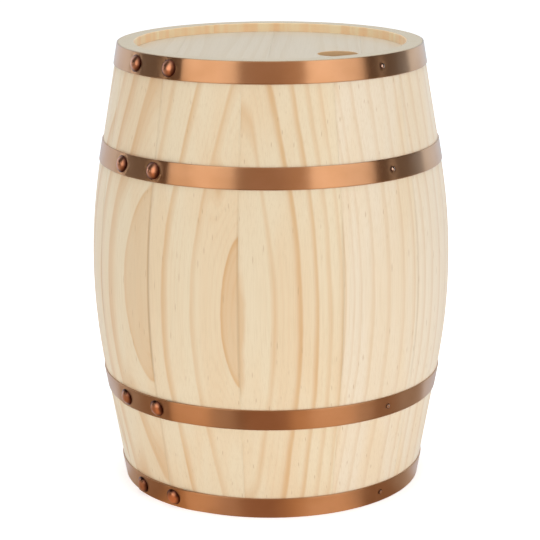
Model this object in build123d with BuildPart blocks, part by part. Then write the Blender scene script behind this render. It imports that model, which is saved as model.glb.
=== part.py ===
from build123d import *
import os
from math import atan2, cos, degrees, radians, sin, tan

# A nine-gallon firkin in pine: twelve staves grooved for two heads, each head of four dowelled boards,
# and four hoops of flat strip, lapped and riveted, and nailed to the staves.
# The origin is at the middle of the foot, +Z runs up the cask and -Y is the front.
# An azimuth is an angle round the cask from the front, in degrees, and grows towards +X.
# A depth is measured into the cask from whichever end is nearer.

# Turns, in degrees
full_turn = 360
quarter_turn = full_turn / 4

# Cask
cask_height = 495
bilge_radius = 200
belly_half_height = 116
end_slope = 9.85

# Staves: each one's share of the way round, starting from the seam left of the front
stave_thickness = 18
chime_wall = 18
first_seam_azimuth = -38.5
stave_width_shares = (1.02, 1.07, 0.99, 0.99, 0.99, 0.98, 1.05, 1.13, 1.07, 0.9, 0.9, 0.91)
rim_arris = 0.8

# Heads: bevelled discs of four boards, standing in the croze grooves
head_depth = 10
head_thickness = 18
head_edge_thickness = 8
croze_depth = 8.8
croze_gap = 0.2
outer_bevel_drop = 2
inner_bevel_run = 15
cant_joint_share = 0.634

# Dowels across the joints between the head boards
dowel_radius = 4
dowel_length = 30
dowel_fit = 0.05
dowel_end_gap = 1
dowel_place_share = 0.53

# Tap hole, through the top head's right middle board, near its joint with the cant
tap_hole_radius = 21.5
tap_hole_joint_gap = 4.2
tap_hole_forward = 39.2

# Hoops: flat strip that rides up over its own end
hoop_width = 23.3
hoop_thickness = 1.2
hoop_fit = 0.05
chime_hoop_depth = 0.5
quarter_hoop_depth = 106.4
lap_margin = 14
ramp_gap = 1
ramp_length = 12

# Rivets, two through each lap
rivet_spacing = 52.4
rivet_head_radius = 9.2
rivet_head_height = 4.8
rivet_rim = 0.5
rivet_shank_radius = 3
rivet_fit = 0.05

# Nails: a quarter turn apart, with the lap in the fourth place
nail_count = 3
nail_head_radius = 2.8
nail_head_height = 1.1
nail_rim = 0.3
nail_shank_radius = 1.1
nail_shank_length = 13
nail_point_length = 3
nail_fit = 0.05

# Where each hoop's lap and first nail stand, which differ a little as the hoops were driven on by hand
top_chime_lap_azimuth = -44.5
top_chime_nail_azimuth = 45.2
top_quarter_lap_azimuth = -46.2
top_quarter_nail_azimuth = 44.6
low_quarter_lap_azimuth = -46.5
low_quarter_nail_azimuth = 43.6
low_chime_lap_azimuth = -45.8
low_chime_nail_azimuth = 46.5

# Each hoop: its name, whether it is at the top, its depth, and the azimuths of its lap and first nail
hoops = (
    ("top_chime", True, chime_hoop_depth, top_chime_lap_azimuth, top_chime_nail_azimuth),
    ("top_quarter", True, quarter_hoop_depth, top_quarter_lap_azimuth, top_quarter_nail_azimuth),
    ("bottom_quarter", False, quarter_hoop_depth, low_quarter_lap_azimuth, low_quarter_nail_azimuth),
    ("bottom_chime", False, chime_hoop_depth, low_chime_lap_azimuth, low_chime_nail_azimuth),
)

# Sizes that follow from those
lean = radians(end_slope)
end_length = cask_height / 2 - belly_half_height
belly_end_radius = bilge_radius - belly_half_height * tan(lean / 2)
end_radius = belly_end_radius - end_length * tan(lean)
inside_end_radius = end_radius - stave_thickness / cos(lean)
chime_radius = end_radius - chime_wall
croze_radius = chime_radius + croze_depth
head_radius = croze_radius - croze_gap
edge_top_depth = head_depth + outer_bevel_drop
edge_bottom_depth = edge_top_depth + head_edge_thickness
inner_bevel_drop = head_depth + head_thickness - edge_bottom_depth
lap_lift = hoop_fit + hoop_thickness + hoop_fit


def at_azimuth(azimuth, radius, height=0):
    """The point at a radius from the cask's axis, towards an azimuth."""
    turn = radians(azimuth)
    return Vector(radius * sin(turn), -radius * cos(turn), height)


def radial_plane(azimuth):
    """The upright plane through the cask's axis, with x running out at the azimuth and y running up."""
    return Plane(origin=(0, 0, 0), x_dir=at_azimuth(azimuth, 1), z_dir=at_azimuth(azimuth - quarter_turn, 1))


def at_top(points):
    """An outline drawn at the foot, turned over for the top of the cask."""
    return [(radius, cask_height - depth) for radius, depth in reversed(points)]


def groove_mouth():
    """Where the groove's lower flank, as steep as the head's inner bevel, meets the stave's inside."""
    rise = inner_bevel_drop / inner_bevel_run
    radius = inside_end_radius + tan(lean) * (edge_bottom_depth + rise * croze_radius)
    radius = radius / (1 + rise * tan(lean))
    return (radius, edge_bottom_depth + rise * (croze_radius - radius))


def stave_outline():
    """A stave's section: a belly between straight ends, an upright chime wall and a groove near each end."""
    foot = [
        (belly_end_radius - stave_thickness * cos(lean), end_length + stave_thickness * sin(lean)),
        groove_mouth(),
        (croze_radius, edge_bottom_depth),
        (croze_radius, edge_top_depth),
        (chime_radius, head_depth),
        (chime_radius, rim_arris),
        (chime_radius + rim_arris, 0),
        (end_radius, 0),
        (belly_end_radius, end_length),
    ]
    top = at_top(foot)
    Polyline(*foot)
    ThreePointArc(foot[-1], (bilge_radius, cask_height / 2), top[0])
    Polyline(*top)
    ThreePointArc(top[-1], (bilge_radius - stave_thickness, cask_height / 2), foot[0])


def head_outline():
    """A head's section: flat inside the chime, bevelled to the edge that stands in the groove."""
    return [
        (0, head_depth),
        (head_radius - croze_depth, head_depth),
        (head_radius, edge_top_depth),
        (head_radius, edge_bottom_depth),
        (head_radius - inner_bevel_run, head_depth + head_thickness),
        (0, head_depth + head_thickness),
    ]


def strip_outline(is_top, depth, lift):
    """The hoop strip's section, lying along the sloping end of the staves at a lift above the wood."""
    corners = [
        (depth, lift),
        (depth, lift + hoop_thickness),
        (depth + hoop_width * cos(lean), lift + hoop_thickness),
        (depth + hoop_width * cos(lean), lift),
    ]
    points = [
        (end_radius + along * tan(lean) + out * cos(lean), along - out * sin(lean))
        for along, out in corners
    ]
    return at_top(points) if is_top else points


def hoop_place(is_top, depth, azimuth, lift):
    """The plane on the middle of a hoop's width, at a lift above the wood, facing outwards."""
    along = depth + hoop_width * cos(lean) / 2
    radius = end_radius + along * tan(lean) + lift * cos(lean)
    height = along - lift * sin(lean)
    tip = -sin(lean)
    if is_top:
        height = cask_height - height
        tip = -tip
    return Plane(
        origin=at_azimuth(azimuth, radius, height),
        x_dir=at_azimuth(azimuth + quarter_turn, 1),
        z_dir=at_azimuth(azimuth, cos(lean), tip),
    )


def hoop_angle(depth, length):
    """The degrees that a length of strip takes up, at the middle of a hoop's width."""
    return degrees(length / (end_radius + (depth + hoop_width / 2) * tan(lean)))


def rivet_azimuths(depth, lap_azimuth):
    """The two azimuths of a lap's rivets."""
    half = hoop_angle(depth, rivet_spacing) / 2
    return (lap_azimuth - half, lap_azimuth + half)


def nail_azimuths(first_azimuth):
    """The azimuths of a hoop's nails."""
    return [first_azimuth + quarter_turn * place for place in range(nail_count)]


def dome_outline(radius, height, rim):
    """A half of a low domed head: a flat underside, a short upright rim and the dome's arc."""
    rise = height - rim
    dome_radius = (radius**2 + rise**2) / (2 * rise)
    half_angle = atan2(radius, dome_radius - rise) / 2
    middle = (dome_radius * sin(half_angle), height - dome_radius * (1 - cos(half_angle)))
    Polyline((0, height), (0, 0), (radius, 0), (radius, rim))
    ThreePointArc((radius, rim), middle, (0, height))


def side_plane(seat):
    """The plane through a seat's axis, in which y runs out from the seat."""
    return Plane(origin=seat.origin, x_dir=seat.x_dir, z_dir=-seat.y_dir)


def export(piece, name):
    """Names a finished piece and writes it."""
    piece.part.label = name
    export_step(piece.part, f"parts/{name}.step")


os.makedirs("parts", exist_ok=True)

# Staves: a turned section each, with pilot holes for the nails that land in it
seam_azimuth = first_seam_azimuth
for number, share in enumerate(stave_width_shares, start=1):
    width = full_turn * share / sum(stave_width_shares)
    with BuildPart() as stave:
        with BuildSketch(radial_plane(seam_azimuth)):
            with BuildLine():
                stave_outline()
            make_face()
        revolve(axis=Axis.Z, revolution_arc=width)
        for _, is_top, depth, _, first_nail in hoops:
            for azimuth in nail_azimuths(first_nail):
                if (azimuth - seam_azimuth) % full_turn < width:
                    with Locations(hoop_place(is_top, depth, azimuth, 0)):
                        Hole(nail_shank_radius + nail_fit, depth=nail_shank_length - hoop_thickness)
    export(stave, f"stave_{number:02d}")
    seam_azimuth += width

# Heads: the boards' joints run from front to back, so the boards lie side by side along X
cant_joint = head_radius * cant_joint_share
joints = (-cant_joint, 0, cant_joint)
boards = (
    ("left_cant", None, joints[0]),
    ("left_middle", joints[0], joints[1]),
    ("right_middle", joints[1], joints[2]),
    ("right_cant", joints[2], None),
)
tap_hole_centre = (
    cant_joint - tap_hole_joint_gap - tap_hole_radius,
    -tap_hole_forward,
    cask_height - head_depth,
)
for end, is_top in (("top", True), ("bottom", False)):
    outline = at_top(head_outline()) if is_top else head_outline()
    middle_height = (outline[0][1] + outline[-1][1]) / 2
    dowel_places = [
        Plane(origin=(joint, side * head_radius * dowel_place_share, middle_height), z_dir=(1, 0, 0))
        for joint in joints
        for side in (-1, 1)
    ]
    with BuildPart() as dowels:
        with Locations(*dowel_places):
            Cylinder(dowel_radius, dowel_length)
    export(dowels, f"{end}_head_dowels")
    for name, left_joint, right_joint in boards:
        with BuildPart() as board:
            with BuildSketch(Plane.XZ):
                Polygon(*outline, align=None)
            revolve(axis=Axis.Z)
            if left_joint is not None:
                split(bisect_by=Plane.YZ.offset(left_joint), keep=Keep.TOP)
            if right_joint is not None:
                split(bisect_by=Plane.YZ.offset(right_joint), keep=Keep.BOTTOM)
            with Locations(*dowel_places):
                Cylinder(dowel_radius + dowel_fit, dowel_length + 2 * dowel_end_gap, mode=Mode.SUBTRACT)
            if is_top and name == "right_middle":
                with Locations(Plane(origin=tap_hole_centre, z_dir=(0, 0, 1))):
                    Hole(tap_hole_radius, depth=head_thickness)
        export(board, f"{end}_head_{name}")

# Hoops: the strip's end lies on its start, comes down a ramp and goes once round to the lap's far end
for name, is_top, depth, lap_azimuth, first_nail in hoops:
    half_lap = hoop_angle(depth, rivet_spacing / 2 + lap_margin)
    ramp_azimuth = lap_azimuth + half_lap + hoop_angle(depth, ramp_gap)
    foot_azimuth = ramp_azimuth + hoop_angle(depth, ramp_length)
    rivet_places = [hoop_place(is_top, depth, a, lap_lift) for a in rivet_azimuths(depth, lap_azimuth)]
    nail_holes = [hoop_place(is_top, depth, a, hoop_fit) for a in nail_azimuths(first_nail)]
    through = 2 * (lap_lift + hoop_thickness)
    with BuildPart() as hoop:
        with BuildSketch(radial_plane(lap_azimuth - half_lap)):
            Polygon(*strip_outline(is_top, depth, lap_lift), align=None)
        revolve(axis=Axis.Z, revolution_arc=ramp_azimuth - lap_azimuth + half_lap)
        with BuildSketch(radial_plane(ramp_azimuth)):
            Polygon(*strip_outline(is_top, depth, lap_lift), align=None)
        with BuildSketch(radial_plane(foot_azimuth)):
            Polygon(*strip_outline(is_top, depth, hoop_fit), align=None)
        loft(ruled=True)
        with BuildSketch(radial_plane(foot_azimuth)):
            Polygon(*strip_outline(is_top, depth, hoop_fit), align=None)
        revolve(axis=Axis.Z, revolution_arc=full_turn + lap_azimuth + half_lap - foot_azimuth)
        with Locations(*rivet_places):
            Cylinder(rivet_shank_radius + rivet_fit, through, mode=Mode.SUBTRACT)
        with Locations(*nail_holes):
            Cylinder(nail_shank_radius + nail_fit, through, mode=Mode.SUBTRACT)
    export(hoop, f"{name}_hoop")

    # Rivets: a domed head on the lap, and a shank closed flush with the inside of the strip
    with BuildPart() as rivets:
        for azimuth in rivet_azimuths(depth, lap_azimuth):
            seat = hoop_place(is_top, depth, azimuth, lap_lift + hoop_thickness)
            with BuildSketch(side_plane(seat)):
                with BuildLine():
                    dome_outline(rivet_head_radius, rivet_head_height, rivet_rim)
                make_face()
            revolve(axis=Axis(seat.origin, seat.z_dir))
            with Locations(seat):
                Cylinder(
                    rivet_shank_radius,
                    lap_lift + hoop_thickness - hoop_fit,
                    align=(Align.CENTER, Align.CENTER, Align.MAX),
                )
    export(rivets, f"{name}_rivets")

    # Nails: a small domed head on the strip, and a pointed shank in the stave's pilot hole
    with BuildPart() as nails:
        for azimuth in nail_azimuths(first_nail):
            seat = hoop_place(is_top, depth, azimuth, hoop_fit + hoop_thickness)
            with BuildSketch(side_plane(seat)):
                with BuildLine():
                    dome_outline(nail_head_radius, nail_head_height, nail_rim)
                make_face()
            revolve(axis=Axis(seat.origin, seat.z_dir))
            straight = nail_shank_length - nail_point_length
            with Locations(seat):
                Cylinder(nail_shank_radius, straight, align=(Align.CENTER, Align.CENTER, Align.MAX))
            with Locations(seat.offset(-straight)):
                Cone(0, nail_shank_radius, nail_point_length, align=(Align.CENTER, Align.CENTER, Align.MAX))
    export(nails, f"{name}_nails")
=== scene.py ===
import random
from math import atan2, cos, pi, radians, sin, sqrt, tan

import bmesh
import bpy
from mathutils import Matrix, Vector


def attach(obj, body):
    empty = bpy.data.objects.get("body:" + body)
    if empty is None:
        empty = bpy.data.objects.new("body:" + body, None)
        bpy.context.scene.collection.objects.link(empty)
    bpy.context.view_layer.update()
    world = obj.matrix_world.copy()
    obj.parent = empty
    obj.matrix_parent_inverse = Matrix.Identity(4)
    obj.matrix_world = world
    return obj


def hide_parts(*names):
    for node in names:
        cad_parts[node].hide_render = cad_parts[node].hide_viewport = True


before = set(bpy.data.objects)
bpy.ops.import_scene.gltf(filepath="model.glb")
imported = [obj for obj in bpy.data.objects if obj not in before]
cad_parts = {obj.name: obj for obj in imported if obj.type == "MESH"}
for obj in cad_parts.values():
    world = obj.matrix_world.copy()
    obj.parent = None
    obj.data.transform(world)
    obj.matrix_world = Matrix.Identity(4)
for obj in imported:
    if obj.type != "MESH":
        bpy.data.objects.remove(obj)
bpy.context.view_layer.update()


# Staves: twelve pine boards, hollowed, bellied and jointed edge to edge, and bent over a fire.
# Each has a groove for the head near both its ends, and its arrises are eased.
cask_height = 0.495
bilge_radius = 0.200
belly_half_height = 0.116
lean = radians(9.85)
stave_thickness = 0.018
chime_wall = 0.018
head_depth = 0.010
head_edge_thickness = 0.008
croze_depth = 0.0088
croze_bevel_drop = 0.002
croze_mouth_share = 0.72
croze_lower_slope = 0.55
rim_arris = 0.0008
seam_arris = 0.00015
crease_angle = radians(32)
belly_points = 18
stave_steps = 20
first_seam_azimuth = -38.5
stave_width_shares = (1.02, 1.07, 0.99, 0.99, 0.99, 0.98, 1.05, 1.13, 1.07, 0.9, 0.9, 0.91)
heart_reach = 0.009
ring_margin = 0.010
least_ring_gap = 0.0002
ripple_depth = 0.0016
plain_ring_count = 8
plain_ring_fall = 0.0022

end_length = cask_height / 2 - belly_half_height
belly_end_radius = bilge_radius - belly_half_height * tan(lean / 2)
end_radius = belly_end_radius - end_length * tan(lean)
chime_radius = end_radius - chime_wall
croze_radius = chime_radius + croze_depth


def at_azimuth(azimuth, radius, height=0.0):
    """The point at a radius from the axis, at an azimuth in degrees from the front towards +X."""
    turn = radians(azimuth)
    return Vector((radius * sin(turn), -radius * cos(turn), height))


def belly_arc(radius_at_middle, radius_at_end, half_height):
    """Points up the belly, on the arc through its middle and both its ends."""
    rise = radius_at_middle - radius_at_end
    arc_radius = (half_height**2 + rise**2) / (2 * rise)
    points = []
    for place in range(belly_points + 1):
        height = half_height * (2 * place / belly_points - 1)
        radius = radius_at_middle - arc_radius + sqrt(arc_radius**2 - height**2)
        points.append((radius, cask_height / 2 + height))
    return points


def stave_section():
    """The outline of a stave in the plane through the axis: up its outside and down its inside."""
    wall = stave_thickness / cos(lean)
    edge_top = head_depth + croze_bevel_drop
    edge_bottom = edge_top + head_edge_thickness
    mouth_radius = croze_radius - croze_depth * croze_mouth_share
    mouth_depth = edge_bottom + croze_lower_slope * (croze_radius - mouth_radius)
    end = [
        (end_radius - wall + mouth_depth * tan(lean), mouth_depth),
        (croze_radius, edge_bottom),
        (croze_radius, edge_top),
        (chime_radius, head_depth),
        (chime_radius, rim_arris),
        (chime_radius + rim_arris, 0),
        (end_radius - rim_arris / 2, 0),
        (end_radius, rim_arris / 2),
    ]
    outside = belly_arc(bilge_radius, belly_end_radius, belly_half_height)
    inner_half = belly_half_height - stave_thickness * sin(lean)
    inner_end_radius = belly_end_radius - stave_thickness * cos(lean)
    inside = belly_arc(bilge_radius - stave_thickness, inner_end_radius, inner_half)
    top = [(radius, cask_height - depth) for radius, depth in reversed(end)]
    return end + outside + top + list(reversed(inside))


def link_piece(bm, name, finish):
    """Makes a smooth-shaded object of a finished mesh, with creases kept sharp, and frees the bmesh."""
    mesh = bpy.data.meshes.new(name)
    bm.to_mesh(mesh)
    bm.free()
    mesh.shade_smooth()
    mesh.set_sharp_from_angle(angle=crease_angle)
    piece = bpy.data.objects.new(name, mesh)
    bpy.context.scene.collection.objects.link(piece)
    mesh.materials.append(finish)
    return piece


def stand_for(piece, node):
    """Puts a finished piece in a CAD node's place, on the cask's one body."""
    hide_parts(node)
    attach(piece, "root")


def turned_blank(points, azimuth, sweep, steps):
    """A bmesh swept round the axis from an outline of (radius, height), closed at both joint faces."""
    bm = bmesh.new()
    corners = [bm.verts.new(at_azimuth(azimuth, radius, height)) for radius, height in points]
    outline = [bm.edges.new(pair) for pair in zip(corners, corners[1:] + corners[:1])]
    bmesh.ops.contextual_create(bm, geom=outline)
    bmesh.ops.spin(
        bm,
        geom=bm.faces[:] + outline + corners,
        cent=(0, 0, 0),
        axis=(0, 0, 1),
        angle=radians(sweep),
        steps=steps,
    )
    bmesh.ops.recalc_face_normals(bm, faces=bm.faces)
    return bm


def ease(bm, edges, width):
    """Rounds edges off a little, with two narrow facets."""
    bmesh.ops.bevel(bm, geom=edges, offset=width, segments=2, profile=0.5, affect="EDGES", material=-1)


def stave_blank(azimuth, width):
    """A stave as it leaves the jointer, with the arrises of both its joint faces eased."""
    bm = turned_blank(stave_section(), azimuth, width, stave_steps)
    # Only the joint faces have more than four corners
    arrises = [edge for edge in bm.edges if any(len(face.verts) > 4 for face in edge.link_faces)]
    ease(bm, arrises, seam_arris)
    return bm


def srgb(red, green, blue):
    """A colour as it is read off a screen, as the linear values that the shaders take."""
    channels = []
    for level in (red, green, blue):
        share = level / 255
        channels.append(share / 12.92 if share <= 0.04045 else ((share + 0.055) / 1.055) ** 2.4)
    return (*channels, 1.0)


def add_node(tree, kind, inputs=None, **settings):
    """A shader node with its settings made and its inputs linked or filled in."""
    node = tree.nodes.new(kind)
    for name, value in settings.items():
        setattr(node, name, value)
    for name, value in (inputs or {}).items():
        if isinstance(value, bpy.types.NodeSocket):
            tree.links.new(value, node.inputs[name])
        else:
            node.inputs[name].default_value = value
    return node


def calc(tree, operation, *terms):
    """The result of a Math node."""
    return add_node(tree, "ShaderNodeMath", dict(enumerate(terms)), operation=operation).outputs[0]


def one_minus(tree, value):
    """What a value leaves of 1."""
    return calc(tree, "SUBTRACT", 1.0, value)


def between(tree, value, low, high):
    """A value's smooth rise from 0 at low to 1 at high."""
    node = add_node(
        tree,
        "ShaderNodeMapRange",
        {"Value": value, "From Min": low, "From Max": high},
        interpolation_type="SMOOTHSTEP",
    )
    return node.outputs["Result"]


def blend_colour(tree, share, first, second, mode="MIX"):
    """Two colours mixed by a share."""
    node = add_node(tree, "ShaderNodeMix", data_type="RGBA", blend_type=mode)
    for place, value in ((0, share), (6, first), (7, second)):
        if isinstance(value, bpy.types.NodeSocket):
            tree.links.new(value, node.inputs[place])
        else:
            node.inputs[place].default_value = value
    return node.outputs[2]


def noise(tree, vector, detail=2.0, roughness=0.5):
    """Soft noise from 0 to 1, with features about one unit of its vector apart."""
    node = add_node(
        tree,
        "ShaderNodeTexNoise",
        {"Vector": vector, "Scale": 1.0, "Detail": detail, "Roughness": roughness},
    )
    return node.outputs["Fac"]


def stretched(tree, vector, scale, shift=(0, 0, 0), turn=(0, 0, 0)):
    """A pattern's place, moved, turned and scaled by a Mapping node."""
    node = add_node(
        tree,
        "ShaderNodeMapping",
        {"Vector": vector, "Location": shift, "Rotation": turn, "Scale": scale},
    )
    return node.outputs["Vector"]


def new_finish(name):
    """A material with only its Principled shader and output."""
    material = bpy.data.materials.new(name)
    material.use_nodes = True
    tree = material.node_tree
    tree.nodes.clear()
    shader = add_node(tree, "ShaderNodeBsdfPrincipled")
    output = add_node(tree, "ShaderNodeOutputMaterial")
    tree.links.new(shader.outputs["BSDF"], output.inputs["Surface"])
    return material, tree, shader


def ramp_colour(tree, share, stops, interpolation="LINEAR"):
    """The colour at a share of the way through a ramp whose stops are (share, colour)."""
    ramp = add_node(tree, "ShaderNodeValToRGB", {"Fac": share})
    ramp.color_ramp.interpolation = interpolation
    elements = ramp.color_ramp.elements
    while len(elements) > 1:
        elements.remove(elements[-1])
    elements[0].position, elements[0].color = stops[0]
    for place, colour in stops[1:]:
        elements.new(place).color = colour
    return ramp.outputs["Color"]


def ring_darkness(tree, cut, rings, heart_fill):
    """How dark the wood is at a cut's distance from the pith: a ring darkens slowly and ends at once.

    A ring is (distance, darkness, rise, fall), and the heart inside the first ring is filled."""
    far = rings[-1][0] + ring_margin
    levels = [(0.0, heart_fill)]
    for number, (ring, dark, rise, fall) in enumerate(rings):
        start = max(ring - rise, levels[-1][0] + least_ring_gap)
        levels.append((start, heart_fill if number == 0 else 0.0))
        levels.append((ring, dark))
        levels.append((ring + fall, 0.0))
    share = add_node(tree, "ShaderNodeMapRange", {"Value": cut, "From Min": 0.0, "From Max": far})
    stops = [(distance / far, (level, level, level, 1.0)) for distance, level in levels]
    return ramp_colour(tree, share.outputs["Result"], stops, "EASE")


def pine_finish(name, board):
    """Planed pine whose rings are the cut that the stave makes through a trunk.

    The pith stands upright before the belly, at the board's heart azimuth. The ends curve away
    from it, so the rings stand as nested arches that narrow towards both ends."""
    material, tree, shader = new_finish(name)
    place = add_node(tree, "ShaderNodeTexCoord").outputs["Object"]
    facing = stretched(tree, place, (1, 1, 1), turn=(0, 0, -radians(board["heart"])))
    parts = add_node(tree, "ShaderNodeSeparateXYZ", {0: facing}).outputs
    azimuth = calc(tree, "ARCTAN2", parts[0], calc(tree, "MULTIPLY", parts[1], -1.0))
    level = add_node(tree, "ShaderNodeCombineXYZ", {0: parts[0], 1: parts[1]}).outputs[0]
    radius = add_node(tree, "ShaderNodeVectorMath", {0: level}, operation="LENGTH").outputs["Value"]
    across = calc(tree, "MULTIPLY", azimuth, radius)
    depth = calc(tree, "SUBTRACT", bilge_radius, radius)
    height = calc(tree, "SUBTRACT", parts[2], cask_height / 2)
    grain_place = add_node(tree, "ShaderNodeCombineXYZ", {0: across, 1: depth, 2: height}).outputs[0]

    def grain_noise(scale, detail=2.0, roughness=0.5):
        return noise(tree, stretched(tree, grain_place, scale, shift=board["shift"]), detail, roughness)

    pith = calc(tree, "SQRT", calc(tree, "MULTIPLY_ADD", across, across, board["pith_depth"] ** 2))
    cut = calc(tree, "MULTIPLY_ADD", depth, board["flare"], pith)
    cut = calc(tree, "MULTIPLY_ADD", height, board["tilt"], cut)

    # The rings next to the heart close at another rate than the outer ones
    closing = calc(tree, "MULTIPLY", calc(tree, "MINIMUM", depth, heart_reach), board["heart_flare"])
    closing = calc(tree, "MULTIPLY_ADD", height, board["heart_tilt"], closing)
    from_middle = calc(tree, "ABSOLUTE", height)
    near_side, far_side, near_end, far_end = board["heart_zone"]
    past_side = between(tree, calc(tree, "ABSOLUTE", across), near_side, far_side)
    past_end = between(tree, from_middle, near_end, far_end)
    closing = calc(tree, "MULTIPLY", closing, one_minus(tree, past_side))
    closing = calc(tree, "MULTIPLY", closing, one_minus(tree, past_end))
    cut = calc(tree, "ADD", cut, closing)
    sway = calc(tree, "SUBTRACT", grain_noise((16, 16, 5)), 0.5)
    cut = calc(tree, "MULTIPLY_ADD", sway, board["sway"], cut)
    ripple = calc(tree, "SUBTRACT", grain_noise((60, 60, 34)), 0.5)
    cut = calc(tree, "MULTIPLY_ADD", ripple, ripple_depth, cut)
    late = ring_darkness(tree, cut, board["rings"], board["heart_fill"])

    # Thin lines of the years between the strong rings
    year = calc(tree, "SINE", calc(tree, "MULTIPLY", cut, 2 * pi / board["year_width"]))
    year = calc(tree, "POWER", calc(tree, "MULTIPLY_ADD", year, 0.5, 0.5), 3.0)
    patchy = grain_noise((45, 45, 6), 3.0)
    years = calc(tree, "MULTIPLY", year, between(tree, patchy, 0.38, 0.7))
    late = calc(tree, "MULTIPLY_ADD", years, board["year_depth"], late)
    late = calc(tree, "MULTIPLY", late, calc(tree, "MULTIPLY_ADD", patchy, 0.55, 0.72))

    colour = blend_colour(tree, late, srgb(*board["pale"]), srgb(*board["late"]))
    blushing = between(tree, grain_noise((34, 34, 3)), 0.35, 0.7)
    colour = blend_colour(tree, blushing, colour, srgb(*board["blush"]), "MULTIPLY")

    # Fibres, and the short dark flecks that resin canals leave
    fibres = grain_noise((900, 900, 14), 3.0, 0.6)
    fibre_share = calc(tree, "MULTIPLY", between(tree, fibres, 0.42, 0.78), 0.32)
    colour = blend_colour(tree, fibre_share, colour, srgb(214, 188, 148))
    cells = add_node(
        tree,
        "ShaderNodeTexVoronoi",
        {"Vector": stretched(tree, grain_place, (190, 190, 20), shift=board["shift"]), "Scale": 1.0},
        feature="F1",
    )
    fleck = one_minus(tree, between(tree, cells.outputs["Distance"], 0.04, 0.14))
    fleck_share = calc(tree, "MULTIPLY", fleck, board["fleck_depth"])
    colour = blend_colour(tree, fleck_share, colour, srgb(190, 150, 108))

    # The joints at both edges have drawn in a little dirt, most where the belly opens them
    opened = calc(tree, "MULTIPLY_ADD", between(tree, from_middle, 0.06, 0.12), -0.75, 1.0)
    left_edge, right_edge = [radians((edge - board["heart"] + 180) % 360 - 180) for edge in board["edges"]]
    insets = (calc(tree, "SUBTRACT", azimuth, left_edge), calc(tree, "SUBTRACT", right_edge, azimuth))
    for inset, joint_depth in zip(insets, board["joint_depths"]):
        by_joint = one_minus(tree, between(tree, calc(tree, "MULTIPLY", inset, radius), 0.0003, 0.0026))
        dirt = calc(tree, "MULTIPLY", by_joint, calc(tree, "MULTIPLY", opened, joint_depth))
        colour = blend_colour(tree, dirt, colour, srgb(172, 132, 88))

    # Sawn ends on the rim and the foot, greyer, with open pores
    half_height = cask_height / 2
    end_face = between(tree, from_middle, half_height - 0.0007, half_height - 0.0003)
    pores = between(tree, noise(tree, stretched(tree, place, (1400, 1400, 200))), 0.35, 0.75)
    end_colour = blend_colour(tree, pores, srgb(219, 203, 172), srgb(200, 180, 142))
    colour = blend_colour(tree, end_face, colour, end_colour)

    # The upright wall inside the rim, turned after the cask was raised, is honey coloured: partly the wood's
    # own deeper tone, partly painted warm bounce light that brightens the recessed wall
    chime_face = one_minus(tree, between(tree, radius, chime_radius + 0.0004, chime_radius + 0.0012))
    groove_top = half_height - head_depth - croze_bevel_drop
    past_groove = between(tree, from_middle, groove_top, half_height - head_depth)
    chime_face = calc(tree, "MULTIPLY", chime_face, past_groove)
    streaks = between(tree, grain_noise((70, 40, 6)), 0.3, 0.75)
    honey_and_painted_bounce = blend_colour(tree, streaks, srgb(255, 234, 194), srgb(252, 210, 160))
    colour = blend_colour(tree, chime_face, colour, honey_and_painted_bounce)

    tree.links.new(colour, shader.inputs["Base Color"])
    rough = calc(tree, "MULTIPLY_ADD", fibres, 0.16, 0.46)
    tree.links.new(rough, shader.inputs["Roughness"])
    shader.inputs["Specular IOR Level"].default_value = 0.5
    shader.inputs["Sheen Weight"].default_value = 0.3
    shader.inputs["Sheen Roughness"].default_value = 0.4
    relief = calc(tree, "MULTIPLY_ADD", late, -0.6, fibres)
    bump = add_node(tree, "ShaderNodeBump", {"Height": relief, "Distance": 0.00012, "Strength": 0.5})
    tree.links.new(bump.outputs["Normal"], shader.inputs["Normal"])
    return material


def plain_board(seed, heart, spacing, tint):
    """A board for the back of the cask: its rings lie at uneven steps outwards from its heart."""
    chance = random.Random(seed)
    pith_depth = chance.uniform(0.022, 0.045)
    ring = pith_depth + chance.uniform(0.004, 0.012)
    rings = []
    for _ in range(plain_ring_count):
        rings.append((ring, chance.uniform(0.35, 0.8), chance.uniform(0.005, 0.010), plain_ring_fall))
        ring += spacing * chance.uniform(0.75, 1.25)
    return dict(
        tint, heart=heart, pith_depth=pith_depth, flare=chance.uniform(0.7, 1.1),
        tilt=chance.uniform(-0.03, 0.03), rings=rings, heart_fill=0.45,
        shift=(seed * 3.7, seed * 1.9, seed * 2.3),
    )


common_board = dict(
    heart_flare=0.0, heart_tilt=0.0, heart_zone=(0.035, 0.065, 0.2, 0.25), joint_depths=(0.2, 0.2),
)
pale_board = dict(
    common_board, sway=0.006, year_width=0.0052, year_depth=0.12, fleck_depth=0.45,
    pale=(236, 217, 184), late=(220, 178, 126), blush=(254, 247, 240),
)
pink_board = dict(
    common_board, sway=0.005, year_width=0.0046, year_depth=0.10, fleck_depth=0.55,
    pale=(238, 221, 195), late=(222, 190, 150), blush=(254, 248, 238),
)

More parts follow.
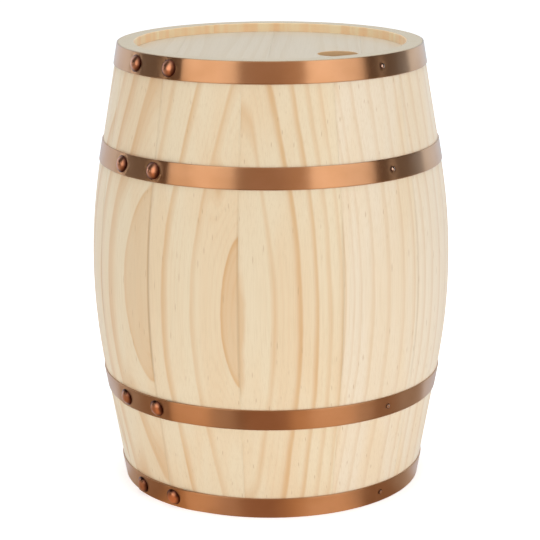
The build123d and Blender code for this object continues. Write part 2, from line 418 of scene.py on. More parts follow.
# Hearts are azimuths in degrees. The six boards in front have their rings set one by one
stave_boards = {
    1: dict(
        pale_board, heart=-7.6, pith_depth=0.008, flare=1.2, tilt=0.0265, heart_fill=0.45,
        heart_flare=1.58, heart_tilt=0.010, heart_zone=(0.020, 0.034, 0.125, 0.155),
        joint_depths=(0.5, 0.3), shift=(1.3, 4.1, 2.2),
        rings=[(0.0215, 0.8, 0.004, 0.0012), (0.0544, 0.45, 0.008, 0.0022),
               (0.0897, 0.65, 0.009, 0.0024), (0.1183, 0.4, 0.007, 0.003)],
    ),
    2: dict(
        pale_board, heart=-8.0, pith_depth=0.026, flare=0.88, tilt=0.025, heart_fill=0.1,
        heart_flare=-0.5, heart_tilt=-0.013, heart_zone=(0.010, 0.030, 0.2, 0.25), shift=(7.4, 0.6, 5.9),
        rings=[(0.0262, 0.6, 0.003, 0.0012), (0.0458, 0.45, 0.004, 0.003), (0.0705, 0.8, 0.007, 0.0026),
               (0.0884, 0.7, 0.006, 0.0026), (0.1028, 0.45, 0.006, 0.0024), (0.1150, 0.35, 0.005, 0.0024)],
    ),
    3: dict(
        pink_board, heart=10.0, pith_depth=0.020, flare=0.85, tilt=0.0, heart_fill=0.0, shift=(2.8, 9.3, 1.1),
        rings=[(0.0565, 0.5, 0.002, 0.001), (0.0659, 0.3, 0.003, 0.002), (0.0742, 0.35, 0.004, 0.0015),
               (0.0895, 0.42, 0.006, 0.002), (0.1100, 0.38, 0.007, 0.002), (0.1306, 0.35, 0.007, 0.002),
               (0.1479, 0.4, 0.005, 0.002)],
    ),
    4: dict(
        pink_board, heart=25.0, pith_depth=0.024, flare=0.8, tilt=0.01, heart_fill=0.0, shift=(5.2, 3.5, 8.6),
        rings=[(0.1030, 0.35, 0.006, 0.002), (0.1180, 0.45, 0.006, 0.002), (0.1350, 0.4, 0.007, 0.002),
               (0.1556, 0.45, 0.007, 0.002), (0.1798, 0.4, 0.008, 0.002), (0.1990, 0.4, 0.008, 0.002)],
    ),
    5: plain_board(5, heart=98.0, spacing=0.022, tint=pink_board),
    6: plain_board(6, heart=121.0, spacing=0.026, tint=pale_board),
    7: plain_board(7, heart=168.0, spacing=0.020, tint=pink_board),
    8: plain_board(8, heart=190.0, spacing=0.027, tint=pale_board),
    9: plain_board(9, heart=205.0, spacing=0.024, tint=pale_board),
    10: plain_board(10, heart=262.0, spacing=0.021, tint=pink_board),
    11: dict(
        pale_board, heart=-60.0, pith_depth=0.048, flare=1.2, tilt=0.02, heart_fill=0.5,
        shift=(6.6, 6.1, 3.3),
        rings=[(0.0530, 0.5, 0.006, 0.002), (0.0800, 0.7, 0.010, 0.002), (0.1080, 0.6, 0.009, 0.002),
               (0.1330, 0.6, 0.009, 0.002)],
    ),
    12: dict(
        pale_board, heart=-38.5, pith_depth=0.020, flare=1.45, tilt=0.029, heart_fill=0.45,
        heart_flare=1.35, heart_tilt=-0.048, heart_zone=(0.036, 0.060, 0.3, 0.4),
        joint_depths=(0.2, 0.5), shift=(0.4, 2.7, 7.5),
        rings=[(0.0429, 0.62, 0.005, 0.0018), (0.0757, 0.6, 0.017, 0.0024), (0.1015, 0.6, 0.014, 0.0026),
               (0.1227, 0.45, 0.010, 0.003)],
    ),
}

seam_azimuth = first_seam_azimuth
for number, share in enumerate(stave_width_shares, start=1):
    width = 360 * share / sum(stave_width_shares)
    name = f"stave_{number:02d}"
    board = dict(stave_boards[number], edges=(seam_azimuth, seam_azimuth + width))
    finish = pine_finish(f"{name}_planed_pine", board)
    stave = link_piece(stave_blank(seam_azimuth, width), f"{name}_pine", finish)
    stand_for(stave, name)
    seam_azimuth += width


# Dowels: short turned beech pins, glued into blind holes across the joints between the head boards.
# They are sealed inside the heads, so the CAD shape stays and only takes its wood.
beech, beech_tree, beech_shader = new_finish("turned_beech")
beech_place = add_node(beech_tree, "ShaderNodeTexCoord").outputs["Object"]
beech_rays = noise(beech_tree, stretched(beech_tree, beech_place, (60, 900, 900)), 3.0)
beech_tone = blend_colour(beech_tree, beech_rays, srgb(212, 178, 138), srgb(186, 146, 104))
beech_tree.links.new(beech_tone, beech_shader.inputs["Base Color"])
beech_shader.inputs["Roughness"].default_value = 0.6
for end in ("top", "bottom"):
    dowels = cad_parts[f"{end}_head_dowels"]
    dowels.data.materials.clear()
    dowels.data.materials.append(beech)


# Heads: each a flat disc of four pine boards, dowelled side by side and bevelled to fit the groove.
# They are sanded paler and greyer than the staves. The right middle board of the top head has the tap hole.
head_thickness = 0.018
head_gap = 0.0002
head_radius = croze_radius - head_gap
inner_bevel_run = 0.015
cant_joint_share = 0.634
cant_joint = head_radius * cant_joint_share
board_arris = 0.0003
tap_hole_radius = 0.0215
hole_to_joint = 0.0042
hole_before_axis = 0.0392
tap_hole_place = (cant_joint - hole_to_joint - tap_hole_radius, -hole_before_axis)
hole_arris = 0.001
head_steps = 144
drill_steps = 96
drill_length = 0.1
same_place = 0.000001
head_pith_depth = 0.030
head_ring_spacing = 0.0105


def turn_once_round(bm, points, steps):
    """Turns an open line of points once round the axis."""
    corners = [bm.verts.new(point) for point in points]
    edges = [bm.edges.new(pair) for pair in zip(corners, corners[1:])]
    bmesh.ops.spin(
        bm, geom=edges + corners, cent=(0, 0, 0), axis=(0, 0, 1), angle=2 * pi, steps=steps, use_merge=True
    )


def head_edge():
    """The edge of a head in section, as (radius, depth in from the rim)."""
    edge_top = head_depth + croze_bevel_drop
    return [
        (head_radius - croze_depth, head_depth),
        (head_radius, edge_top),
        (head_radius, edge_top + head_edge_thickness),
        (head_radius - inner_bevel_run, head_depth + head_thickness),
    ]


def head_blank(is_top):
    """A whole head: its edge turned once round, with both its faces filled."""
    bm = bmesh.new()
    points = []
    for radius, depth in head_edge():
        points.append(at_azimuth(0, radius, cask_height - depth if is_top else depth))
    turn_once_round(bm, points, head_steps)
    bmesh.ops.remove_doubles(bm, verts=bm.verts, dist=same_place)
    rims = [edge for edge in bm.edges if edge.is_boundary]
    bmesh.ops.holes_fill(bm, edges=rims, sides=0)
    bmesh.ops.recalc_face_normals(bm, faces=bm.faces)
    return bm


def saw_board(bm, joint, keep_right):
    """Saws a head along a joint and keeps one side, with the joint face closed and its arrises eased."""
    side = -1 if keep_right else 1
    sawn = bmesh.ops.bisect_plane(
        bm,
        geom=bm.verts[:] + bm.edges[:] + bm.faces[:],
        plane_co=(joint, 0, 0),
        plane_no=(side, 0, 0),
        clear_outer=True,
    )
    cut = [part for part in sawn["geom_cut"] if isinstance(part, bmesh.types.BMEdge)]
    bmesh.ops.contextual_create(bm, geom=cut)
    bmesh.ops.recalc_face_normals(bm, faces=bm.faces)
    arrises = [edge for edge in bm.edges if all(abs(vert.co.x - joint) < same_place for vert in edge.verts)]
    ease(bm, arrises, board_arris)


def bore_tap_hole(board):
    """Bores the round hole for the tap through a board and eases its lips."""
    drill = bmesh.new()
    bmesh.ops.create_cone(
        drill,
        cap_ends=True,
        segments=drill_steps,
        radius1=tap_hole_radius,
        radius2=tap_hole_radius,
        depth=drill_length,
    )
    bmesh.ops.translate(drill, verts=drill.verts, vec=(*tap_hole_place, cask_height))
    drill_mesh = bpy.data.meshes.new("drill")
    drill.to_mesh(drill_mesh)
    drill.free()
    cutter = bpy.data.objects.new("drill", drill_mesh)
    bpy.context.scene.collection.objects.link(cutter)
    bored = board.modifiers.new("tap_hole", "BOOLEAN")
    bored.operation = "DIFFERENCE"
    bored.solver = "EXACT"
    bored.object = cutter
    bpy.context.view_layer.update()
    shaped = bpy.data.meshes.new_from_object(board.evaluated_get(bpy.context.evaluated_depsgraph_get()))
    board.modifiers.clear()
    bpy.data.objects.remove(cutter)
    bm = bmesh.new()
    bm.from_mesh(shaped)
    centre = Vector(tap_hole_place)
    lips = [
        edge
        for edge in bm.edges
        if all(abs((vert.co.xy - centre).length - tap_hole_radius) < 10 * same_place for vert in edge.verts)
        and abs(edge.verts[0].co.z - edge.verts[1].co.z) < same_place
    ]
    ease(bm, lips, hole_arris)
    bm.to_mesh(board.data)
    bm.free()
    board.data.shade_smooth()
    board.data.set_sharp_from_angle(angle=crease_angle)


def head_finish(name, heart_x, shift, bored):
    """Sanded pine with its grain from front to back, and rings that hardly show on the face."""
    material, tree, shader = new_finish(name)
    place = add_node(tree, "ShaderNodeTexCoord").outputs["Object"]
    moved = stretched(tree, place, (1, 1, 1), shift=(-heart_x, 0, 0))
    parts = add_node(tree, "ShaderNodeSeparateXYZ", {0: moved}).outputs
    pith = calc(tree, "SQRT", calc(tree, "MULTIPLY_ADD", parts[0], parts[0], head_pith_depth**2))
    cut = calc(tree, "ADD", pith, calc(tree, "MULTIPLY", parts[2], 0.9))
    sway = calc(tree, "SUBTRACT", noise(tree, stretched(tree, place, (10, 2.5, 10), shift=shift), 1.0), 0.5)
    cut = calc(tree, "MULTIPLY_ADD", sway, 0.016, cut)
    wave = calc(tree, "FRACT", calc(tree, "DIVIDE", cut, head_ring_spacing))
    fading = one_minus(tree, between(tree, wave, 0.9, 1.0))
    late = calc(tree, "MULTIPLY", between(tree, wave, 0.35, 0.9), fading)
    colour = blend_colour(tree, calc(tree, "MULTIPLY", late, 0.2), srgb(224, 211, 189), srgb(208, 186, 150))
    fibres = noise(tree, stretched(tree, place, (900, 16, 900), shift=shift), 3.0, 0.6)
    fibre_share = calc(tree, "MULTIPLY", between(tree, fibres, 0.42, 0.8), 0.2)
    colour = blend_colour(tree, fibre_share, colour, srgb(206, 194, 170))
    if bored:
        x = calc(tree, "SUBTRACT", parts[0], tap_hole_place[0] - heart_x)
        y = calc(tree, "SUBTRACT", parts[1], tap_hole_place[1])
        from_hole = calc(tree, "SQRT", calc(tree, "MULTIPLY_ADD", x, x, calc(tree, "MULTIPLY", y, y)))
        past_lip = between(tree, from_hole, tap_hole_radius + 0.0002, tap_hole_radius + 0.0009)
        colour = blend_colour(tree, one_minus(tree, past_lip), colour, srgb(240, 200, 150))
    tree.links.new(colour, shader.inputs["Base Color"])
    tree.links.new(calc(tree, "MULTIPLY_ADD", fibres, 0.15, 0.5), shader.inputs["Roughness"])
    shader.inputs["Specular IOR Level"].default_value = 0.3
    bump = add_node(tree, "ShaderNodeBump", {"Height": fibres, "Distance": 0.0001, "Strength": 0.5})
    tree.links.new(bump.outputs["Normal"], shader.inputs["Normal"])
    return material


# Name, joint on the left, joint on the right, heart
head_boards = (
    ("left_cant", None, -cant_joint, -0.131),
    ("left_middle", -cant_joint, 0.0, -0.060),
    ("right_middle", 0.0, cant_joint, 0.036),
    ("right_cant", cant_joint, None, 0.150),
)
for end in ("bottom", "top"):
    for number, (side, left_joint, right_joint, heart_x) in enumerate(head_boards):
        name = f"{end}_head_{side}"
        bm = head_blank(end == "top")
        if left_joint is not None:
            saw_board(bm, left_joint, keep_right=True)
        if right_joint is not None:
            saw_board(bm, right_joint, keep_right=False)
        bored = name == "top_head_right_middle"
        finish = head_finish(f"{name}_sanded_pine", heart_x, (number * 2.3, 1.7, number * 0.9), bored)
        board = link_piece(bm, f"{name}_board", finish)
        if bored:
            bore_tap_hole(board)
        stand_for(board, name)


# Hoops: flat copper strip, brushed along its length, driven on towards the belly from each end.
# Each goes once round and rides up over its own end, where two rivets hold the lap.
hoop_width = 0.0233
hoop_thickness = 0.0012
hoop_fit = 0.00005
hoop_arris = 0.00035
lap_margin = 0.014
ramp_gap = 0.001
ramp_length = 0.026
rivet_spacing = 0.0524
chime_hoop_depth = 0.0005
quarter_hoop_depth = 0.1064
face_points = 15
corner_inset = 0.29
coarse_step = 1.5
fine_step = 0.22
fine_reach = 3.4
ramp_fringe = 0.3
shortest_step = 0.01
ring_mark_radius = 0.0106
ring_mark_half_width = 0.0013
ring_mark_depth = 0.00010
dimple_radius = 0.0060
dimple_depth = 0.00045
face_tolerance = 0.0005
lap_lift = hoop_fit + hoop_thickness + hoop_fit

# Name, whether at the top, depth in from the rim, azimuth of the lap, azimuth of the first nail
hoops = (
    ("bottom_chime", False, chime_hoop_depth, -45.8, 46.5),
    ("bottom_quarter", False, quarter_hoop_depth, -46.5, 43.6),
    ("top_quarter", True, quarter_hoop_depth, -46.2, 44.6),
    ("top_chime", True, chime_hoop_depth, -44.5, 45.2),
)


def hoop_degrees(depth, length):
    """The degrees that a length of strip takes up, at the middle of a hoop's width."""
    return length / (end_radius + (depth + hoop_width / 2) * tan(lean)) * 180 / pi


def outward(azimuth, is_top):
    """The direction that a hoop faces at an azimuth: level, and tipped by the staves' lean."""
    return at_azimuth(azimuth, cos(lean), sin(lean) if is_top else -sin(lean))


def hoop_seat(is_top, depth, azimuth, lift):
    """The place on the middle of a hoop's width at a lift above the wood, as a matrix facing outwards."""
    along = depth + hoop_width * cos(lean) / 2
    radius = end_radius + along * tan(lean)
    height = cask_height - along if is_top else along
    face = outward(azimuth, is_top)
    side = at_azimuth(azimuth + 90, 1)
    turn = Matrix((side, face.cross(side), face)).transposed().to_4x4()
    return Matrix.Translation(at_azimuth(azimuth, radius, height) + face * lift) @ turn


def strip_section(is_top, depth, azimuth, lift):
    """The strip's section at an azimuth, as points round a flat bar with its outer corners rounded."""
    seat = hoop_seat(is_top, depth, azimuth, lift)
    half = hoop_width / 2
    corner = hoop_arris
    inset = corner * corner_inset
    face = [half - corner - (2 * half - 2 * corner) * place / face_points for place in range(face_points + 1)]
    points = [(place, hoop_thickness) for place in face]
    points += [(-half + inset, hoop_thickness - inset), (-half, hoop_thickness - corner)]
    points += [(-half, 0), (half, 0)]
    points += [(half, hoop_thickness - corner), (half - inset, hoop_thickness - inset)]
    return [seat @ Vector((0, across, out)) for across, out in points]


def rivet_azimuths(depth, lap_azimuth):
    """The two azimuths of a lap's rivets."""
    half = hoop_degrees(depth, rivet_spacing) / 2
    return (lap_azimuth - half, lap_azimuth + half)


def nail_azimuths(first_azimuth):
    """The azimuths of a hoop's three nails, a quarter turn apart."""
    return [first_azimuth + 90 * place for place in range(3)]


def strip_stations(start, finish, ramp, foot, busy):
    """The azimuths at which a strip has a section: closer together on the ramp and by the fixings."""
    stations = [start]
    while stations[-1] < finish - shortest_step:
        here = stations[-1]
        near = any(abs((here - place + 180) % 360 - 180) < fine_reach for place in busy)
        near = near or ramp - ramp_fringe < here < foot + ramp_fringe
        stations.append(min(here + (fine_step if near else coarse_step), finish))
    return stations


def ring_mark(distance):
    """How deep the riveting tool's ring is at a distance from the rivet's middle."""
    return ring_mark_depth * max(0, 1 - ((distance - ring_mark_radius) / ring_mark_half_width) ** 2)


def nail_dimple(distance):
    """How deep the hammer has sunk the strip at a distance from the nail's middle."""
    return dimple_depth * max(0, 1 - (distance / dimple_radius) ** 2) ** 2


def note_outlying(bm, is_top, depth):
    """Stores how far out each point of a strip is across its width: 0 on the middle, 1 at both edges."""
    outlying = bm.verts.layers.float.new("outlying")
    to_middle = hoop_seat(is_top, depth, 0, 0).inverted()
    for vert in bm.verts:
        local = to_middle @ Vector((0, -vert.co.xy.length, vert.co.z))
        vert[outlying] = min(abs(local.y) / (hoop_width / 2), 1)


def hoop_strip(is_top, depth, lap_azimuth, first_nail):
    """A hoop's strip, swept from its outer end down the ramp and round to its hidden inner end."""
    half_lap = hoop_degrees(depth, rivet_spacing / 2 + lap_margin)
    start = lap_azimuth - half_lap
    ramp = lap_azimuth + half_lap + hoop_degrees(depth, ramp_gap)
    foot = ramp + hoop_degrees(depth, ramp_length)
    finish = lap_azimuth + half_lap + 360
    rivets = rivet_azimuths(depth, lap_azimuth)
    nails = nail_azimuths(first_nail)

    def lift_at(azimuth):
        share = min(max((azimuth - ramp) / (foot - ramp), 0), 1)
        return lap_lift + (hoop_fit - lap_lift) * share * share * (3 - 2 * share)

    bm = bmesh.new()
    corners = [bm.verts.new(point) for point in strip_section(is_top, depth, start, lap_lift)]
    outline = [bm.edges.new(pair) for pair in zip(corners, corners[1:] + corners[:1])]
    bmesh.ops.contextual_create(bm, geom=outline)
    ring = outline + corners
    stations = strip_stations(start, finish, ramp, foot, (*rivets, *nails))
    for here, there in zip(stations, stations[1:]):
        swept = bmesh.ops.spin(
            bm, geom=ring, cent=(0, 0, 0), axis=(0, 0, 1), angle=radians(there - here), steps=1
        )
        ring = swept["geom_last"]
        ring_verts = [part for part in ring if isinstance(part, bmesh.types.BMVert)]
        drop = outward(there, is_top) * (lift_at(there) - lift_at(here))
        bmesh.ops.translate(bm, verts=ring_verts, vec=drop)
    bmesh.ops.contextual_create(bm, geom=[part for part in ring if isinstance(part, bmesh.types.BMEdge)])
    bmesh.ops.recalc_face_normals(bm, faces=bm.faces)

    marks = [(azimuth, lap_lift, ring_mark) for azimuth in rivets]
    marks += [(azimuth, hoop_fit, nail_dimple) for azimuth in nails]
    for azimuth, lift, depth_at in marks:
        to_seat = hoop_seat(is_top, depth, azimuth, lift + hoop_thickness).inverted()
        for vert in bm.verts:
            local = to_seat @ vert.co
            if abs(local.z) < face_tolerance:
                vert.co -= outward(azimuth, is_top) * depth_at(local.xy.length)
    note_outlying(bm, is_top, depth)
    return bm


def copper_finish(name, colour, bloomed, edge_shade_colour, edge_shade_from, roughness, brushed):
    """Copper with a light bloom, and painted shade where it lies out towards its edges.

    Strip is brushed along its length, and rivets and nails are burnished."""
    material, tree, shader = new_finish(name)
    place = add_node(tree, "ShaderNodeTexCoord").outputs["Object"]
    bloom = noise(tree, stretched(tree, place, (22, 22, 30)), 4.0)
    tone = blend_colour(tree, between(tree, bloom, 0.3, 0.75), srgb(*colour), srgb(*bloomed))
    outlying = add_node(tree, "ShaderNodeAttribute", attribute_name="outlying").outputs["Fac"]
    # Towards the edges the colour darkens: painted shade on rivet and nail domes and along the strip's edges
    tone = blend_colour(tree, between(tree, outlying, edge_shade_from, 1.0), tone, srgb(*edge_shade_colour))
    tree.links.new(tone, shader.inputs["Base Color"])
    shader.inputs["Metallic"].default_value = 1.0
    tree.links.new(calc(tree, "MULTIPLY_ADD", bloom, 0.06, roughness - 0.03), shader.inputs["Roughness"])
    if brushed:
        shader.inputs["Anisotropic"].default_value = 1.0
        shader.inputs["Anisotropic Rotation"].default_value = 0.25
        tangent = add_node(tree, "ShaderNodeTangent", direction_type="RADIAL", axis="Z")
        tree.links.new(tangent.outputs["Tangent"], shader.inputs["Tangent"])
        parts = add_node(tree, "ShaderNodeSeparateXYZ", {0: place}).outputs
        around = calc(tree, "MULTIPLY", calc(tree, "ARCTAN2", parts[0], parts[1]), 3.0)
        along_axis = calc(tree, "MULTIPLY", parts[2], 3600.0)
        brushing = add_node(tree, "ShaderNodeCombineXYZ", {0: around, 1: along_axis}).outputs[0]
        lines = noise(tree, brushing, 3.0, 0.65)
        bump = add_node(tree, "ShaderNodeBump", {"Height": lines, "Distance": 0.00003, "Strength": 0.35})
        tree.links.new(bump.outputs["Normal"], shader.inputs["Normal"])
    return material


# The strip's outer edges are darkened: painted shade lines where the hoop meets the wood
brushed_copper = copper_finish(
    "brushed_copper_strip",
    colour=(238, 183, 139),
    bloomed=(230, 173, 127),
    edge_shade_colour=(210, 162, 124),
    edge_shade_from=0.92,
    roughness=0.34,
    brushed=True,
)
for name, is_top, depth, lap_azimuth, first_nail in hoops:
    strip = hoop_strip(is_top, depth, lap_azimuth, first_nail)
    hoop = link_piece(strip, f"{name}_copper_strip", brushed_copper)
    stand_for(hoop, f"{name}_hoop")


# Rivets: copper, with a domed head that stands on the lap, and a shank headed over inside the strip.
# The dome is burnished by the setting tool, and its outer half is painted dark brown as shade.
rivet_head_radius = 0.0092
rivet_head_height = 0.0048
rivet_rim = 0.0005
rivet_shank_radius = 0.003
dome_points = 10
rim_bevel_share = 0.3
lathe_steps = 48


def dome_section(radius, height, rim, shank):
    """Half the section of a domed head with its shank, from the top of the dome to the shank's end."""
    rise = height - rim
    dome_radius = (radius**2 + rise**2) / (2 * rise)
    reach = atan2(radius, dome_radius - rise)
    dome = []
    for place in range(dome_points + 1):
        turn = reach * place / dome_points
        dome.append((dome_radius * sin(turn), height - dome_radius * (1 - cos(turn))))
    bevel = rim * rim_bevel_share
    return dome + [(radius, bevel), (radius - bevel, 0)] + shank


def turn_on_lathe(bm, section, seat):
    """Adds a piece turned from a section of (radius, height), standing on a seat.

    It stores how far out each point is, from 0 on the piece's axis to 1 at its rim."""
    outlying = bm.verts.layers.float.get("outlying") or bm.verts.layers.float.new("outlying")
    before = set(bm.verts)
    turn_once_round(bm, [(radius, 0, height) for radius, height in section], lathe_steps)
    turned = [vert for vert in bm.verts if vert not in before]
    bmesh.ops.remove_doubles(bm, verts=turned, dist=same_place)
    turned = [vert for vert in bm.verts if vert not in before]
    reach = max(radius for radius, _ in section)
    for vert in turned:
        vert[outlying] = vert.co.xy.length / reach
    bmesh.ops.transform(bm, matrix=seat, verts=turned)


# Dark brown painted shade on the outer half of each dome, round its burnished middle
burnished_copper = copper_finish(
    "burnished_copper_rivet",
    colour=(244, 172, 132),
    bloomed=(230, 156, 118),
    edge_shade_colour=(84, 46, 36),
    edge_shade_from=0.52,
    roughness=0.28,
    brushed=False,
)
rivet_shank_length = lap_lift + hoop_thickness - hoop_fit
rivet_section = dome_section(
    rivet_head_radius,
    rivet_head_height,
    rivet_rim,
    [(rivet_shank_radius, 0), (rivet_shank_radius, -rivet_shank_length), (0, -rivet_shank_length)],
)
for name, is_top, depth, lap_azimuth, _ in hoops:
    bm = bmesh.new()
    for azimuth in rivet_azimuths(depth, lap_azimuth):
        turn_on_lathe(bm, rivet_section, hoop_seat(is_top, depth, azimuth, lap_lift + hoop_thickness))
    bmesh.ops.recalc_face_normals(bm, faces=bm.faces)
    rivets = link_piece(bm, f"{name}_domed_rivets", burnished_copper)
    stand_for(rivets, f"{name}_rivets")


# Nails: small copper tacks with domed heads, three to a hoop, driven through it into the staves.
# Each head sits in the dimple that the hammer made.
nail_head_radius = 0.0028
nail_head_height = 0.0011
nail_rim = 0.0003
nail_shank_radius = 0.0011
nail_shank_length = 0.013
nail_point_length = 0.003

# The outer part of each nail head is painted dark as shade, round its bright middle
nail_copper = copper_finish(
    "copper_nail",
    colour=(240, 204, 180),
    bloomed=(226, 180, 150),
    edge_shade_colour=(74, 46, 34),
    edge_shade_from=0.55,
    roughness=0.2,
    brushed=False,
)
nail_section = dome_section(
    nail_head_radius,
    nail_head_height,
    nail_rim,
    [
        (nail_shank_radius, 0),
        (nail_shank_radius, nail_point_length - nail_shank_length),
        (0, -nail_shank_length),
    ],
)
for name, is_top, depth, _, first_nail in hoops:
    bm = bmesh.new()
    for azimuth in nail_azimuths(first_nail):
        turn_on_lathe(bm, nail_section, hoop_seat(is_top, depth, azimuth, hoop_fit + hoop_thickness))
    bmesh.ops.recalc_face_normals(bm, faces=bm.faces)
    nails = link_piece(bm, f"{name}_copper_nails", nail_copper)
    stand_for(nails, f"{name}_nails")


# Floor: a wide pale sheet that the cask stands on, white to the eye but for the cask's own shadow.
floor_size = 24.0
floor_glow = 0.46
floor_glow_seen = 0.1


def looked_at(tree):
    """1 for the rays that show a thing to the eye, also in metal and through glass, and 0 for the others."""
    rays = add_node(tree, "ShaderNodeLightPath").outputs
    seen = calc(tree, "MAXIMUM", rays["Is Camera Ray"], rays["Is Glossy Ray"])
    return calc(tree, "MAXIMUM", seen, rays["Is Transmission Ray"])


floor_bm = bmesh.new()
bmesh.ops.create_grid(floor_bm, x_segments=1, y_segments=1, size=floor_size / 2)
floor_finish, floor_tree, floor_shader = new_finish("pale_floor")
floor_shader.inputs["Base Color"].default_value = srgb(246, 246, 246)
floor_shader.inputs["Roughness"].default_value = 0.9
floor_shader.inputs["Specular IOR Level"].default_value = 0.0
floor_shader.inputs["Emission Color"].default_value = (1, 1, 1, 1)
floor_light = calc(floor_tree, "MULTIPLY_ADD", looked_at(floor_tree), floor_glow_seen, floor_glow)
floor_tree.links.new(floor_light, floor_shader.inputs["Emission Strength"])
floor = link_piece(floor_bm, "floor", floor_finish)


# Studio: an even white room, two broad soft lamps in front and one overhead. Curved cards that show
# only in reflections stand round the cask and lie round its foot: bright for the lamps, darker between
# and beside them, grey behind, and three small bright ones that put the glints on rivets and nails.
room_level = 0.59
world = bpy.data.worlds.new("studio")
bpy.context.scene.world = world
world.use_nodes = True
world_tree = world.node_tree
world_tree.nodes.clear()
room = add_node(world_tree, "ShaderNodeBackground", {"Color": (1, 1, 1, 1)})
world_output = add_node(world_tree, "ShaderNodeOutputWorld")
world_tree.links.new(room.outputs["Background"], world_output.inputs["Surface"])
room_light = calc(world_tree, "MULTIPLY_ADD", looked_at(world_tree), 1.0 - room_level, room_level)
world_tree.links.new(room_light, room.inputs["Strength"])


def add_lamp(name, azimuth, distance, height, size, power):
    """A square soft box lamp, aimed at the middle of the cask."""
    lamp = bpy.data.lights.new(name, "AREA")
    lamp.shape = "RECTANGLE"
    lamp.size = size
    lamp.size_y = size
    lamp.energy = power
    placed = bpy.data.objects.new(name, lamp)
    bpy.context.scene.collection.objects.link(placed)
    placed.location = at_azimuth(azimuth, distance, height)
    aim = Vector((0, 0, cask_height / 2)) - placed.location
    placed.rotation_euler = aim.to_track_quat("-Z", "Y").to_euler()
    placed.visible_glossy = False


add_lamp("right_softbox", azimuth=38, distance=2.6, height=0.9, size=1.4, power=8.5)
add_lamp("left_softbox", azimuth=-55, distance=2.6, height=0.9, size=1.4, power=2.5)
add_lamp("top_softbox", azimuth=0, distance=0.001, height=3.0, size=1.6, power=19)

card_distance = 3.2
glint_distance = 3.1
card_top = 6.0
softbox_top = 2.4
front_split = 1.0
card_steps = 24
ring_card_steps = 72
ring_card_height = 0.0003
ring_card_radii = (0.168, 0.24, card_distance)
white = (255, 255, 255)


def card_finish(name, strength):
    """A finish that gives off light and reflects none."""
    material, tree, shader = new_finish(name)
    shader.inputs["Base Color"].default_value = (0, 0, 0, 1)
    shader.inputs["Specular IOR Level"].default_value = 0.0
    shader.inputs["Emission Strength"].default_value = strength
    return material, tree, shader


def hide_from_all_but_metal(card):
    """Leaves a card to be seen only in reflections."""
    card.visible_camera = False
    card.visible_diffuse = False
    card.visible_shadow = False
    card.visible_transmission = False
    card.visible_volume_scatter = False


def add_card(name, azimuths, heights, tone, strength=1.0, distance=card_distance):
    """A card that stands curved round the cask, between two azimuths and two heights."""
    bm = bmesh.new()
    first, last = azimuths
    corners = [bm.verts.new(at_azimuth(first, distance, height)) for height in heights]
    edge = bm.edges.new(corners)
    bmesh.ops.spin(
        bm,
        geom=[*corners, edge],
        cent=(0, 0, 0),
        axis=(0, 0, 1),
        angle=radians(last - first),
        steps=card_steps,
    )
    material, _, shader = card_finish(name, strength)
    shader.inputs["Emission Color"].default_value = srgb(*tone)
    hide_from_all_but_metal(link_piece(bm, name, material))


add_card("front_black_card", (-21.5, 27.5), (0.0, front_split), (122, 102, 91))
add_card("front_brown_card", (-21.5, 27.5), (front_split, card_top), (182, 160, 144))
add_card("right_softbox_card", (27.5, 72), (0.0, softbox_top), (255, 250, 246), strength=1.4)
add_card("left_softbox_card", (-61, -21.5), (0.0, softbox_top), (255, 247, 238), strength=1.3)
add_card("right_dark_card", (73, 121), (0.0, card_top), (36, 29, 28))
add_card("left_dark_card", (-116, -62), (0.0, card_top), (62, 60, 62))
add_card("inner_rivet_glint_card", (-80, -75), (0.45, 0.9), white, 2.5, glint_distance)
add_card("outer_rivet_glint_card", (-113, -107), (0.25, 0.7), white, 2.5, glint_distance)
add_card("nail_glint_card", (85, 89), (0.5, 0.7), white, 3.0, glint_distance)
add_card("right_grey_card", (121, 180), (0.0, card_top), (216, 238, 255))
add_card("left_grey_card", (-180, -116), (0.0, card_top), (216, 232, 248))


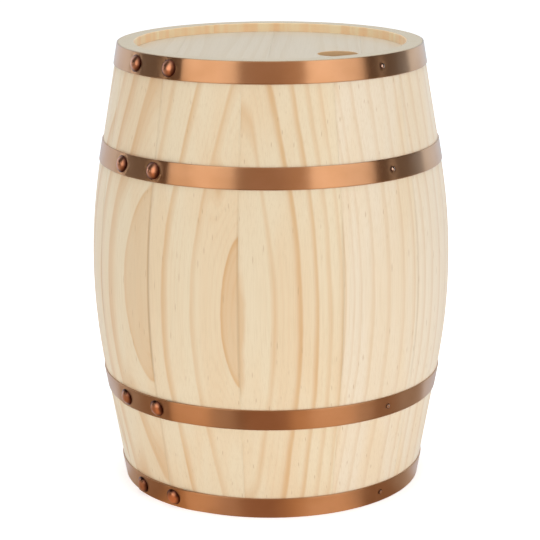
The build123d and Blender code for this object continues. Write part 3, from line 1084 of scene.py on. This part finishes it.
def add_ring_card(name, radii, sectors, softness):
    """A card that lies round the cask between two radii, with a tone for each sector.

    A sector is (its first azimuth, tone), and its tone blends into the next over twice the softness."""
    bm = bmesh.new()
    turn_once_round(bm, [at_azimuth(0, radius, ring_card_height) for radius in radii], ring_card_steps)
    material, tree, shader = card_finish(name, 1.0)
    place = add_node(tree, "ShaderNodeTexCoord").outputs["Object"]
    parts = add_node(tree, "ShaderNodeSeparateXYZ", {0: place}).outputs
    azimuth = calc(tree, "ARCTAN2", parts[0], calc(tree, "MULTIPLY", parts[1], -1.0))
    share = calc(tree, "MULTIPLY_ADD", azimuth, 0.5 / pi, 0.5)
    stops = [(0.0, srgb(*sectors[0][1]))]
    for first_azimuth, tone in sectors[1:]:
        stops.append(((first_azimuth - softness + 180) / 360, stops[-1][1]))
        stops.append(((first_azimuth + softness + 180) / 360, srgb(*tone)))
    tree.links.new(ramp_colour(tree, share, stops), shader.inputs["Emission Color"])
    hide_from_all_but_metal(link_piece(bm, name, material))


sky_blue = (204, 222, 244)
side_grey = (171, 163, 155)
shade = (154, 130, 110)
add_ring_card(
    "foot_ring_card",
    ring_card_radii[:2],
    ((-180, sky_blue), (-80, side_grey), (-64, shade), (-45, (196, 160, 124)), (-21, (152, 118, 96)),
     (7, (202, 168, 134)), (37, (150, 124, 103)), (62, side_grey), (80, sky_blue)),
    softness=5,
)
add_ring_card(
    "floor_ring_card",
    ring_card_radii[1:],
    ((-180, sky_blue), (-108, side_grey), (-80, shade), (-52, (196, 160, 124)), (-31, (116, 89, 71)),
     (-12, (152, 118, 96)), (12, (202, 168, 134)), (48, (150, 124, 103)), (80, side_grey), (108, sky_blue)),
    softness=3,
)


# Camera: where the photographer stood, a little right of the front and above, looking down on the rim.
camera_distance = 2.0892
camera_height = 0.7682
camera_azimuth = 2.0
camera_pitch = 0.254395
camera_roll = 0.00407
lens = bpy.data.cameras.new("camera")
lens.lens = 126.755
lens.sensor_width = 36.0
lens.shift_x = -0.0021
lens.shift_y = 0.0133
lens.clip_end = 60.0
camera = bpy.data.objects.new("camera", lens)
bpy.context.scene.collection.objects.link(camera)
level_turn = Matrix.Rotation(radians(camera_azimuth), 4, "Z")
pitch_turn = Matrix.Rotation(pi / 2 - camera_pitch, 4, "X")
roll_turn = Matrix.Rotation(-camera_roll, 4, "Z")
camera.matrix_world = (
    Matrix.Translation(at_azimuth(camera_azimuth, camera_distance, camera_height))
    @ level_turn @ pitch_turn @ roll_turn
)
bpy.context.scene.camera = camera
bpy.context.scene.view_settings.view_transform = "Standard"
